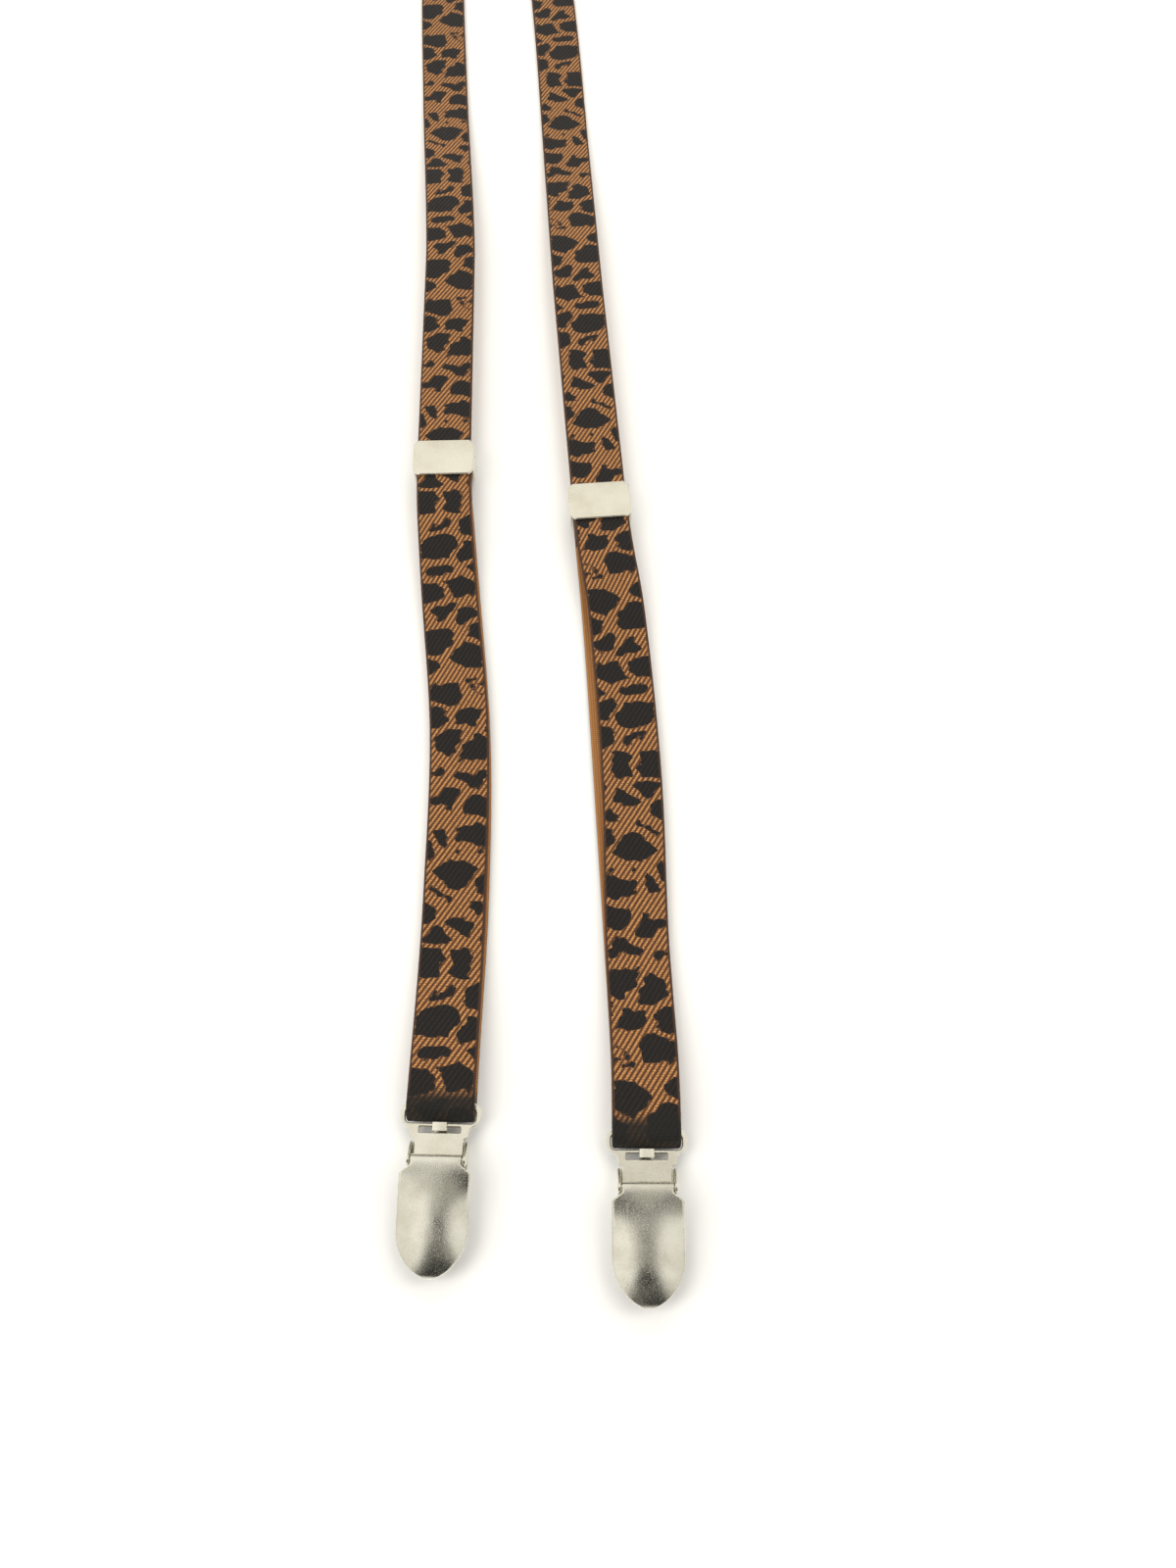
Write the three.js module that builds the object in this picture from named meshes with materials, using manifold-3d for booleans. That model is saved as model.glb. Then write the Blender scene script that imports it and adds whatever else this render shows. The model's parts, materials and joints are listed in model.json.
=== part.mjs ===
// Clip-on Y-back suspenders, laid out flat on a surface with the printed face up.
// Millimetres, +Z up. The front straps run along +Y from their clips to the yoke patch,
// and the single back strap goes on along +Y to the back clip.
import * as THREE from 'three';
import { mergeVertices } from 'three/addons/utils/BufferGeometryUtils.js';
import Module from 'manifold-3d';

const wasm = await Module();
wasm.setup();

// ---- driving dimensions ----
const GAP = 0.3;                      // clearance between pieces that touch
const STRAP = { width: 15, thick: 1.2 };
const FOLD_RADIUS = 2.5;              // middle of the webbing where it turns round a clip loop
const SURFACE_GAP = 0.35;             // underside of a strap that lies on the surface
const STRAP_STEP = 14;                // spacing of stations along a strap

// Each front strap: where its clip loop lies, the turn of the clip, how far up the strap the
// adjuster sits, the lean of the stretch that it slides on, and the sideways offsets (from a
// straight line, clip to adjuster) of the front and return layers at fractions of that span.
const SIDES = {
  left: {
    clip: [-29.9, 43.3], turn: -4.4, adjuster: 176.5, adjusterX: -28.1, lean: 0.031,
    front: [[0.22, 2.0], [0.52, 3.6], [0.8, 1.2]], back: [[0.22, 2.6], [0.5, 3.9], [0.8, 1.7]],
    upper: [[0.22, -3.2], [0.42, -4.9], [0.72, -1.5]],
  },
  right: {
    clip: [14.7, 35.2], turn: -3.4, adjuster: 167.5, adjusterX: 14.5, lean: -0.022,
    front: [[0.22, 0.7], [0.5, 2.6], [0.85, 2.0]], back: [[0.22, 0.4], [0.5, 0.6], [0.8, 0.6]],
    upper: [[0.13, 1.0], [0.35, 2.6], [0.7, 1.6]],
  },
};
const TRAVEL = 70;                    // how far an adjuster slides up its strap
const TRAVEL_MARGIN = 9;              // straight strap kept at both ends of that travel
const BED_RAMP = 45;                  // length over which doubled webbing settles together
const FALL_RAMP = 90;                 // length over which it comes down from the adjuster

const YOKE = { x: -8.3, start: 664, length: 58, margin: 5.3, backMargin: 4.5, thick: 1.2, round: 7 };
const YOKE_ENTRY = {
  offset: STRAP.width / 2 + 2.7, inner: STRAP.width / 2 + 1.1, depth: 22, backStart: 26,
};
const BACK = { length: 215, tail: 30, bow: 1.2 };

const ADJUSTER = {
  height: 11.8, plate: 0.7, ear: 0.6, earHeight: 8.4, earFoot: 1.4, side: 0.35, corner: 1.4,
  barRadius: 0.7, barBack: 1.5, pinRadius: 0.5, pinForward: 2.9, pinDrop: 1.85, tab: 3.9, tail: 15,
  toothPitch: 2, toothWidth: 1.2,
};
const CLIP = {
  length: 35.6,                       // loop bar to tip
  pivotRun: 5.95,                     // slot to lever pivot
  shoulderRun: 3.05,                  // lever pivot to the full width of the lever
  bar: 1.4, post: 1.15, side: 0.25, corner: 2.6, web: 0.8, slot: 1.2,
  slotWidth: 9.2, plate: 0.8, ring: 1.2, saddle: 12.7, notch: 10.7, jaw: 12.6, jawEnd: 1.6,
  leverWidth: 15.4, neck: 10.9, leverPlate: 0.7, tipRound: 5.9,
  crown: 0.5, droop: 1.3, tipDrop: 2.0, roll: 1.25, lobe: 1.0, lobeDrop: 0.8, pinRadius: 0.5,
  ear: 0.6, hook: 3.2, hookThick: 0.6, padLength: 8, padStart: 2.2, padWidth: 11.2,
  ridge: 0.3, ridges: 5,
};

// ---- materials ----
const finish = (color, roughness, metalness) =>
  new THREE.MeshStandardMaterial({ color, roughness, metalness });
const WEBBING = finish(0xb0713a, 0.8, 0);
const METAL = finish(0xd9d4c4, 0.28, 1);
const LEATHER = finish(0x1c1917, 0.55, 0);
const PAD = finish(0x26241f, 0.5, 0);

// ---- solids ----
const toSolid = (geometry) => {
  geometry.deleteAttribute('normal');
  geometry.deleteAttribute('uv');
  const merged = mergeVertices(geometry, 1e-4);
  return new wasm.Manifold(new wasm.Mesh({
    numProp: 3,
    vertProperties: merged.attributes.position.array,
    triVerts: Uint32Array.from(merged.index.array),
  }));
};

const toGeometry = (solid) => {
  const mesh = solid.getMesh();
  const geometry = new THREE.BufferGeometry();
  geometry.setAttribute('position', new THREE.BufferAttribute(mesh.vertProperties, 3));
  geometry.setIndex(new THREE.BufferAttribute(mesh.triVerts, 1));
  return geometry;
};

const join = (...geometries) => toGeometry(
  geometries.map(toSolid).reduce((whole, piece) => whole.add(piece)));

const cut = (geometry, ...tools) => toGeometry(
  tools.map(toSolid).reduce((rest, tool) => rest.subtract(tool), toSolid(geometry)));

// A box of unit size whose every vertex is moved to place(x, y, z), each from -0.5 to 0.5.
function warpBox(nx, ny, place) {
  const geometry = new THREE.BoxGeometry(1, 1, 1, nx, ny, 1);
  const points = geometry.attributes.position;
  for (let i = 0; i < points.count; i++) {
    points.setXYZ(i, ...place(points.getX(i), points.getY(i), points.getZ(i)));
  }
  geometry.deleteAttribute('normal');
  geometry.deleteAttribute('uv');
  return mergeVertices(geometry, 1e-4);
}

// An outline in the Y-Z plane, extruded across X from low to high.
function acrossX(outline, low, high) {
  const shape = new THREE.Shape(outline.map(([y, z]) => new THREE.Vector2(y, z)));
  const geometry = new THREE.ExtrudeGeometry(shape, { depth: high - low, bevelEnabled: false });
  const axes = [new THREE.Vector3(0, 1, 0), new THREE.Vector3(0, 0, 1), new THREE.Vector3(1, 0, 0)];
  geometry.applyMatrix4(new THREE.Matrix4().makeBasis(...axes));
  return geometry.translate(low, 0, 0);
}

// A flat shape in X-Y, from one height to another.
const flat = (shape, low, high) => new THREE.ExtrudeGeometry(
  shape, { depth: high - low, bevelEnabled: false, curveSegments: 6 }).translate(0, 0, low);

const rod = (radius, half, y, z, sides = 12) => new THREE.CylinderGeometry(
  radius, radius, 2 * half, sides).rotateZ(Math.PI / 2).translate(0, y, z);

// Points on a circle in the Y-Z plane, angles in degrees from +Y towards +Z.
const arc = (y, z, radius, from, to, steps) => Array.from({ length: steps + 1 }, (_, i) => {
  const angle = THREE.MathUtils.degToRad(from + ((to - from) * i) / steps);
  return [y + radius * Math.cos(angle), z + radius * Math.sin(angle)];
});

// An outline with rounded corners through [x, y, radius] corners.
function rounded(corners) {
  const shape = new THREE.Shape();
  corners.forEach(([x, y, radius], i) => {
    const corner = new THREE.Vector2(x, y);
    const step = (k) => {
      const other = corners[(i + k + corners.length) % corners.length];
      const edge = new THREE.Vector2(other[0], other[1]).sub(corner);
      return edge.setLength(Math.min(radius, edge.length() * 0.48)).add(corner);
    };
    const enter = step(-1);
    const leave = step(1);
    if (i) shape.lineTo(enter.x, enter.y);
    else shape.moveTo(enter.x, enter.y);
    if (radius) shape.quadraticCurveTo(x, y, leave.x, leave.y);
  });
  return shape.closePath();
}

const mirrored = (half) => [...half, ...half.map(([x, ...rest]) => [-x, ...rest]).reverse()];

// ---- heights of the stacked webbing ----
const HALF = STRAP.thick / 2;
const RETURN_Z = SURFACE_GAP + HALF;
const FOLD_Z = RETURN_Z + FOLD_RADIUS;
const CLIP_FRONT_Z = FOLD_Z + FOLD_RADIUS;
const BED_Z = RETURN_Z + STRAP.thick + GAP;
const LOOP_RADIUS = ADJUSTER.barRadius + GAP + 0.05 + HALF;
const BAR_Z = RETURN_Z + LOOP_RADIUS;
const TURNED_Z = BAR_Z + LOOP_RADIUS;
const SLIDE_Z = TURNED_Z + STRAP.thick + GAP;
const COVER_Z = SLIDE_Z + HALF + GAP;
const YOKE_STRAP_Z = YOKE.thick + GAP + HALF;

// ---- straps ----
// A path is a list of stations {at, along, up}: up is the side with the pattern.
function ribbon(path) {
  return warpBox(1, path.length - 1, (x, y, z) => {
    const { at, along, up } = path[Math.round((y + 0.5) * (path.length - 1))];
    const side = new THREE.Vector3().crossVectors(along, up).normalize();
    return at.clone().addScaledVector(side, x * STRAP.width)
      .addScaledVector(up, z * STRAP.thick).toArray();
  });
}

// A layer of webbing over the surface from one Y to another; pattern is +1 facing up.
function layer(xAt, zAt, from, to, pattern, step = STRAP_STEP) {
  const count = Math.max(2, Math.ceil(Math.abs(to - from) / step));
  const point = (y) => new THREE.Vector3(xAt(y), y, zAt(y));
  return Array.from({ length: count + 1 }, (_, i) => {
    const y = from + ((to - from) * i) / count;
    const along = point(y + 0.05).sub(point(y - 0.05)).multiplyScalar(Math.sign(to - from));
    along.normalize();
    const across = new THREE.Vector3(0, 0, pattern).cross(along).normalize();
    return { at: point(y), along, up: new THREE.Vector3().crossVectors(along, across) };
  });
}

// A half turn of webbing in the plane across `side`, from angle to angle (from +Y to +Z).
function turn(centre, side, radius, from, to, steps) {
  const forward = new THREE.Vector3(0, 0, 1).cross(side);
  const direction = Math.sign(to - from);
  return Array.from({ length: steps + 1 }, (_, i) => {
    const angle = THREE.MathUtils.degToRad(from + ((to - from) * i) / steps);
    const up = forward.clone().multiplyScalar(Math.cos(angle));
    up.z = Math.sin(angle);
    const along = forward.clone().multiplyScalar(-Math.sin(angle) * direction);
    along.z = Math.cos(angle) * direction;
    return { at: centre.clone().addScaledVector(up, radius), along, up };
  });
}

// Heights that ease from each [y, z] level to the next.
const eased = (levels) => (y) => {
  const next = levels.findIndex(([level]) => level > y);
  if (next === 0) return levels[0][1];
  if (next < 0) return levels[levels.length - 1][1];
  const [[y0, z0], [y1, z1]] = levels.slice(next - 1, next + 1);
  return THREE.MathUtils.lerp(z0, z1, THREE.MathUtils.smoothstep(y, y0, y1));
};

// A smooth curve x(y) through [y, x] points.
function through(points) {
  const curve = new THREE.CubicInterpolant(
    points.map(([y]) => y), points.map(([, x]) => x), 1, new Float64Array(1));
  return (y) => curve.evaluate(THREE.MathUtils.clamp(y, points[0][0], points.at(-1)[0]))[0];
}

// Straight from one [y, x] point to another, with sideways offsets at fractions of the way.
function bowed([y0, x0], [y1, x1], offsets) {
  const at = (t) => [THREE.MathUtils.lerp(y0, y1, t), THREE.MathUtils.lerp(x0, x1, t)];
  return [[y0, x0], ...offsets.map(([t, dx]) => [at(t)[0], at(t)[1] + dx]), [y1, x1]];
}

const assembly = new THREE.Group();

function add(parent, name, geometry, material) {
  const mesh = new THREE.Mesh(geometry, material);
  mesh.name = name;
  parent.add(mesh);
}

function placed(parent, x, y, turnDegrees = 0) {
  const group = new THREE.Group();
  group.position.set(x, y, 0);
  group.rotation.z = THREE.MathUtils.degToRad(turnDegrees);
  parent.add(group);
  return group;
}

function frontStrap(name, side) {
  const [clipX, clipY] = side.clip;
  const angle = THREE.MathUtils.degToRad(side.turn);
  const foldX = clipX + Math.sin(angle) * FOLD_SHIFT;
  const foldY = clipY - Math.cos(angle) * FOLD_SHIFT;
  const adjusterY = clipY + side.adjuster;
  const straightStart = adjusterY - TRAVEL_MARGIN;
  const straightEnd = adjusterY + TRAVEL + TRAVEL_MARGIN;
  const slideX = (y) => side.adjusterX + side.lean * (y - adjusterY);
  const sign = Math.sign(side.clip[0] - YOKE.x);
  const yokeX = (offset) => YOKE.x + sign * offset;
  const strapEnd = YOKE.start + YOKE_ENTRY.depth;

  // the webbing leaves the clip in line with the clip
  const lead = [[foldY, foldX], [foldY + 12, foldX - Math.tan(angle) * 12]];
  const rest = [straightStart, slideX(straightStart)];
  const toAdjuster = (offsets) => through([...lead.slice(0, 1), ...bowed(lead[1], rest, offsets)]);
  const front = toAdjuster(side.front);
  const back = toAdjuster(side.back);
  const upper = through([[straightEnd - 12, slideX(straightEnd - 12)],
    ...bowed([straightEnd, slideX(straightEnd)], [YOKE.start, yokeX(YOKE_ENTRY.offset)], side.upper),
    [strapEnd, yokeX(YOKE_ENTRY.inner)]]);
  const frontX = (y) => {
    if (y < straightStart) return front(y);
    return y > straightEnd ? upper(y) : slideX(y);
  };
  const frontZ = eased([[foldY, CLIP_FRONT_Z], [foldY + BED_RAMP, BED_Z],
    [straightStart - BED_RAMP, BED_Z], [straightStart, SLIDE_Z], [straightEnd, SLIDE_Z],
    [straightEnd + FALL_RAMP, RETURN_Z], [YOKE.start - BED_RAMP, RETURN_Z],
    [YOKE.start, YOKE_STRAP_Z]]);
  const returnZ = () => RETURN_Z;

  const split = straightStart - 6;
  const foldTail = 2;
  const loopTail = adjusterY - ADJUSTER.barBack - ADJUSTER.tail;
  add(assembly, `strap_front_${name}_upper`,
    ribbon(layer(frontX, frontZ, strapEnd, split, 1)), WEBBING);
  add(assembly, `strap_front_${name}_lower`,
    ribbon(layer(frontX, frontZ, split - GAP, foldY + foldTail + GAP, 1)), WEBBING);

  const across = new THREE.Vector3(Math.cos(angle), Math.sin(angle), 0);
  const foldCentre = new THREE.Vector3(foldX, foldY, FOLD_Z);
  add(assembly, `strap_fold_${name}`, ribbon([
    ...layer(frontX, frontZ, foldY + foldTail, foldY + 0.4, 1, 1).slice(0, -1),
    ...turn(foldCentre, across, FOLD_RADIUS, 90, 270, 10),
    ...layer(back, returnZ, foldY + 0.4, foldY + foldTail, -1, 1).slice(1),
  ]), WEBBING);
  add(assembly, `strap_return_${name}`,
    ribbon(layer(back, returnZ, foldY + foldTail + GAP, loopTail - GAP, -1)), WEBBING);

  // the sewn end, turned round the adjuster's bar
  const loopX = (y) => (y < straightStart ? back(y) : slideX(y));
  const slope = Math.atan(side.lean);
  const loopAcross = new THREE.Vector3(Math.cos(slope), -Math.sin(slope), 0);
  const barY = adjusterY - ADJUSTER.barBack;
  const barCentre = new THREE.Vector3(slideX(barY), barY, BAR_Z);
  add(assembly, `strap_end_loop_${name}`, ribbon([
    ...layer(loopX, returnZ, loopTail, barY - 0.4, -1, 7),
    ...turn(barCentre, loopAcross, LOOP_RADIUS, -90, 90, 8),
    ...layer(loopX, () => TURNED_Z, barY - 0.4, loopTail + 3, 1, 7),
  ]), WEBBING);
  adjuster(name, placed(assembly, slideX(adjusterY), adjusterY, -THREE.MathUtils.radToDeg(slope)));
  clip(name, placed(assembly, clipX, clipY, side.turn));
}

// ---- adjuster: origin on the surface under the middle of its cover ----
function adjuster(name, group) {
  const a = ADJUSTER;
  const inner = STRAP.width / 2 + a.side;
  const outer = inner + a.ear;
  const half = a.height / 2;
  const top = COVER_Z + a.plate;
  const pinZ = SLIDE_Z - HALF - a.pinDrop;
  const cover = rounded(mirrored([
    [outer - a.corner, -half, 0], [outer, -half + a.corner, 0],
    [outer, half - a.corner, 0], [outer - a.corner, half, 0],
  ]));
  const ear = (low) => acrossX([[-a.earHeight / 2, a.earFoot], [a.earHeight / 2, a.earFoot],
    [a.earHeight / 2, top - a.plate / 2], [-a.earHeight / 2, top - a.plate / 2]], low, low + a.ear);
  const bore = (radius, y, z) => rod(radius + GAP, outer + 1, y, z);
  add(group, `adjuster_cover_${name}`, cut(
    join(flat(cover, COVER_Z, top), ear(-outer), ear(inner)),
    bore(a.barRadius, -a.barBack, BAR_Z), bore(a.pinRadius, a.pinForward, pinZ)), METAL);
  add(group, `adjuster_bar_${name}`, rod(a.barRadius, outer + 0.2, -a.barBack, BAR_Z), METAL);
  add(group, `adjuster_lock_pin_${name}`, rod(a.pinRadius, outer + 0.2, a.pinForward, pinZ), METAL);

  // toothed lock: a knuckle on the pin, teeth under the strap and a thumb tab behind
  const knuckle = a.pinRadius + GAP + 0.5;
  const lockHalf = inner - GAP;
  const teethTop = SLIDE_Z - HALF - GAP;
  const tab = acrossX([[a.pinForward, pinZ - 0.7], [a.pinForward + a.tab, pinZ - 0.7],
    [a.pinForward + a.tab, pinZ + 0.1], [a.pinForward, pinZ + 0.1]], -lockHalf, lockHalf);
  const count = Math.floor((2 * lockHalf) / a.toothPitch);
  const teeth = Array.from({ length: count }, (_, i) => {
    const x = (i - (count - 1) / 2) * a.toothPitch;
    return acrossX([[a.pinForward + 0.2, pinZ + 0.8], [a.pinForward + 1.2, pinZ + 0.3],
      [a.pinForward + 0.9, teethTop]], x - a.toothWidth / 2, x + a.toothWidth / 2);
  });
  add(group, `adjuster_lock_${name}`, cut(
    join(rod(knuckle, lockHalf, a.pinForward, pinZ), tab, ...teeth),
    rod(a.pinRadius + GAP, inner + 1, a.pinForward, pinZ)), METAL);
}

// ---- clip: origin on the surface under the loop's bar, tip towards -Y ----
const fromTip = (v) => v - CLIP.length;
const FRAME_TOP = FOLD_Z + CLIP.ring / 2;
const FOLD_SHIFT = 0.4;
const RING_INNER = -FOLD_SHIFT - FOLD_RADIUS - HALF - GAP;

function clip(name, group) {
  const c = CLIP;
  const plateLow = FRAME_TOP - c.plate;
  const half = STRAP.width / 2 + c.side + c.post;
  const ringTop = c.bar / 2;
  const webEnd = RING_INNER - c.web;
  const slotEnd = webEnd - c.slot;
  const pivotY = slotEnd - c.pivotRun;
  const pivotZ = FRAME_TOP + GAP + c.lobeDrop + c.lobe;
  const earLow = pivotY + 0.8;
  const earHigh = pivotY + 4.1;

  // frame: strap loop, web, hook slot, saddle and front jaw in one stamping
  const ring = cut(
    flat(rounded(mirrored([[half, ringTop, c.corner], [half, RING_INNER + 0.2, 3],
      [c.saddle / 2, webEnd - 0.6, 1], [c.saddle / 2, slotEnd - 0.7, 0.3]])),
    FRAME_TOP - c.ring, FRAME_TOP),
    flat(rounded(mirrored([[half - c.post, -c.bar / 2, 1], [half - c.post, RING_INNER, 1.2]])),
      0, 10));
  const blade = rounded(mirrored([
    [c.saddle / 2, webEnd, 0], [c.saddle / 2, earHigh + 0.8, 0.3], [c.notch / 2, earHigh + 0.3, 0.3],
    [c.notch / 2, pivotY - 2.6, 0.5], [c.jaw / 2, pivotY - 3.8, 0.5],
    [c.jaw / 2, fromTip(c.jawEnd + 3), 2], [c.jaw / 2 - 3, fromTip(c.jawEnd), 1.5],
  ]));
  add(group, `clip_frame_${name}`, cut(
    join(ring, flat(blade, plateLow, FRAME_TOP)),
    flat(rounded(mirrored([[c.slotWidth / 2, webEnd, 0.3], [c.slotWidth / 2, slotEnd, 0.3]])),
      0, 10)), METAL);

  // back plate: ears beside the frame's notches, and a hook through the slot over the web
  const hookLow = (webEnd + slotEnd) / 2 - c.hookThick / 2;
  const hookHigh = hookLow + c.hookThick;
  const hookTop = FRAME_TOP + GAP + c.hookThick;
  const backPlate = rounded(mirrored([
    [c.jaw / 2, slotEnd - 1.6, 1.5], [c.jaw / 2, fromTip(c.jawEnd + 3), 2],
    [c.jaw / 2 - 3, fromTip(c.jawEnd), 1.5],
  ]));
  const hook = [[slotEnd - 3, 0], [slotEnd - 0.6, 0], [hookHigh, 1.6],
    [hookHigh, FRAME_TOP + GAP], [RING_INNER + 0.1, FRAME_TOP + GAP], [RING_INNER + 0.1, hookTop],
    [hookLow, hookTop], [hookLow, 1.9], [slotEnd - 1.1, c.plate], [slotEnd - 3, c.plate]];
  const earIn = c.notch / 2 + GAP + 0.1;
  const ear = [[earLow, 0.2], [earHigh, 0.2], [earHigh, pivotZ - 2.2],
    ...arc(pivotY, pivotZ, c.roll + 0.1, 10, 200, 8)];
  add(group, `clip_back_plate_${name}`, cut(
    join(flat(backPlate, 0, c.plate), acrossX(hook, -c.hook / 2, c.hook / 2),
      acrossX(ear, earIn, earIn + c.ear), acrossX(ear, -earIn - c.ear, -earIn)),
    rod(c.pinRadius + GAP, half, pivotY, pivotZ)), METAL);
  add(group, `clip_pin_${name}`, rod(c.pinRadius, earIn + c.ear + 0.2, pivotY, pivotZ), METAL);

  // lever: domed plate, neck and an eccentric roll that presses on the frame
  const pivot = pivotY + c.length;    // distances from the tip
  const shoulder = pivot - c.shoulderRun;
  const shoulderEnd = pivot - 0.85;
  const leverHalf = (v) => {
    if (v < c.tipRound) return (c.leverWidth / 2) * Math.sqrt(1 - (1 - v / c.tipRound) ** 2);
    const t = THREE.MathUtils.smoothstep(v, shoulder, shoulderEnd);
    return THREE.MathUtils.lerp(c.leverWidth, c.neck, t) / 2;
  };
  const leverTop = (x, v) => {
    const end = Math.max(0, 1 - v / (c.tipRound + 2));
    const dome = 1 - THREE.MathUtils.smoothstep(v, shoulder - 4, shoulderEnd + 0.5);
    const sideways = (2 * x / c.leverWidth) ** 2;
    return pivotZ + c.roll - dome * (c.crown + c.droop * sideways)
      - c.tipDrop * (1 - Math.sqrt(1 - end * end));
  };
  const between = (from, to, parts) => parts.map((t) => THREE.MathUtils.lerp(from, to, t));
  const rows = [...between(0, c.tipRound, [0.02, 0.1, 0.25, 0.5, 0.78]),
    ...between(c.tipRound, shoulder, [0, 0.28, 0.55, 0.82]),
    ...between(shoulder, shoulderEnd, [0, 0.35, 0.65, 1]), pivot];
  const dome = warpBox(8, rows.length - 1, (x, y, z) => {
    const v = rows[Math.round((y + 0.5) * (rows.length - 1))];
    const across = 2 * x * leverHalf(v);
    return [across, fromTip(v), leverTop(across, v) + (z - 0.5) * c.leverPlate];
  });
  const cam = [...arc(pivotY, pivotZ, c.roll, 0, 180, 8),
    ...arc(pivotY, pivotZ - c.lobeDrop, c.lobe, 195, 345, 7)];
  add(group, `clip_lever_${name}`, cut(
    join(dome, acrossX(cam, -c.neck / 2, c.neck / 2)),
    rod(c.pinRadius + GAP, half, pivotY, pivotZ)), METAL);

  // ridged grip pads on the facing sides of the two plates
  const padFrom = fromTip(c.padStart);
  const thick = (plateLow - c.plate - 3 * GAP) / 2;
  const pad = (base, out) => {
    const outline = [[padFrom, base], [padFrom + c.padLength, base]];
    for (let i = 0; i < c.ridges; i++) {
      const y = padFrom + c.padLength * (1 - i / c.ridges);
      outline.push([y, base + out * (thick - c.ridge)]);
      outline.push([y - c.padLength / c.ridges / 2, base + out * thick]);
    }
    outline.push([padFrom, base + out * (thick - c.ridge)]);
    return acrossX(outline, -c.padWidth / 2, c.padWidth / 2);
  };
  add(group, `clip_pad_front_${name}`, pad(plateLow - GAP, -1), PAD);
  add(group, `clip_pad_back_${name}`, pad(c.plate + GAP, 1), PAD);
}

// ---- yoke: two leather layers with the strap ends between them ----
function yoke() {
  const wide = YOKE_ENTRY.offset + STRAP.width / 2 + YOKE.margin;
  const narrow = STRAP.width / 2 + YOKE.backMargin;
  const outline = rounded(mirrored([
    [wide, 0, YOKE.round], [wide, YOKE.length * 0.32, YOKE.round],
    [narrow, YOKE.length, YOKE.round * 0.7],
  ]));
  const group = placed(assembly, YOKE.x, YOKE.start);
  add(group, 'yoke_patch_back', flat(outline, 0, YOKE.thick), LEATHER);
  const frontLow = YOKE.thick + STRAP.thick + 2 * GAP;
  add(group, 'yoke_patch_front', flat(outline, frontLow, frontLow + YOKE.thick), LEATHER);
}

function backStrap() {
  const start = YOKE.start + YOKE_ENTRY.backStart;
  const clipY = YOKE.start + YOKE.length + BACK.length;
  const foldY = clipY + FOLD_SHIFT;
  const straight = foldY - BED_RAMP;
  const backX = through([[start, YOKE.x], [start + 40, YOKE.x],
    [(start + straight) / 2, YOKE.x + BACK.bow], [straight, YOKE.x], [foldY, YOKE.x]]);
  const tailEnd = foldY - BACK.tail;
  const topZ = eased([[YOKE.start + YOKE.length, YOKE_STRAP_Z],
    [YOKE.start + YOKE.length + BED_RAMP, RETURN_Z], [tailEnd - BED_RAMP, RETURN_Z],
    [tailEnd - 3, BED_Z], [tailEnd + 3, BED_Z], [foldY, CLIP_FRONT_Z]]);
  const centre = new THREE.Vector3(YOKE.x, foldY, FOLD_Z);
  add(assembly, 'strap_back', ribbon([
    ...layer(backX, topZ, start, foldY - 0.4, 1, 12),
    ...turn(centre, new THREE.Vector3(-1, 0, 0), FOLD_RADIUS, 90, 270, 10),
    ...layer(backX, () => RETURN_Z, foldY - 0.4, tailEnd, -1, 12),
  ]), WEBBING);
  clip('back', placed(assembly, YOKE.x, clipY, 180));
}

Object.entries(SIDES).forEach(([name, side]) => frontStrap(name, side));
yoke();
backStrap();

// the origin is on the surface under the middle of the whole part
assembly.updateMatrixWorld(true);
const box = new THREE.Box3().setFromObject(assembly, true);
assembly.position.set(-(box.min.x + box.max.x) / 2, -(box.min.y + box.max.y) / 2, -box.min.z);

export default assembly;
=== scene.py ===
"""Clip-on suspenders laid out flat: the visual model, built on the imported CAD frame."""
import json
import math

import bmesh
import bpy
import numpy as np
from mathutils import Matrix, Vector
from mathutils.geometry import delaunay_2d_cdt


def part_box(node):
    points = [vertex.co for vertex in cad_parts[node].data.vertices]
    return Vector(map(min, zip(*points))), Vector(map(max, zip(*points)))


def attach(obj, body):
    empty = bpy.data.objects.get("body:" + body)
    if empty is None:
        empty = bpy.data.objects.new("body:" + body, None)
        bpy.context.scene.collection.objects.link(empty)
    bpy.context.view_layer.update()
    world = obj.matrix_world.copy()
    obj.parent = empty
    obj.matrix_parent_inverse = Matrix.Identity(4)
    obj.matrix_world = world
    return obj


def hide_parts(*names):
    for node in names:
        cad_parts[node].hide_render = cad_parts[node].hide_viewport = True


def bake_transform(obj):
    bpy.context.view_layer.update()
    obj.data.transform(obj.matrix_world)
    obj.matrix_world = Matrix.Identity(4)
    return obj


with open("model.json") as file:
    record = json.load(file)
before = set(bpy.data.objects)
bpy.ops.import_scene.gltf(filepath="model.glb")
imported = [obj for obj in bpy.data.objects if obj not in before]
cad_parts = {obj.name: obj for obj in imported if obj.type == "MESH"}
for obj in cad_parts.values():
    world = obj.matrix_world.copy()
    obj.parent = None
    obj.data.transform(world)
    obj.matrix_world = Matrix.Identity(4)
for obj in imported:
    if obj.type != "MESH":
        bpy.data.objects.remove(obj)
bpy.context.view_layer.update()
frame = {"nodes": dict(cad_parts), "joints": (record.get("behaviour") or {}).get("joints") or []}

MM = 0.001
JOINTS = {joint["name"]: joint for joint in frame["joints"]}
UP = np.array([0.0, 0.0, 1.0])

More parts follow.
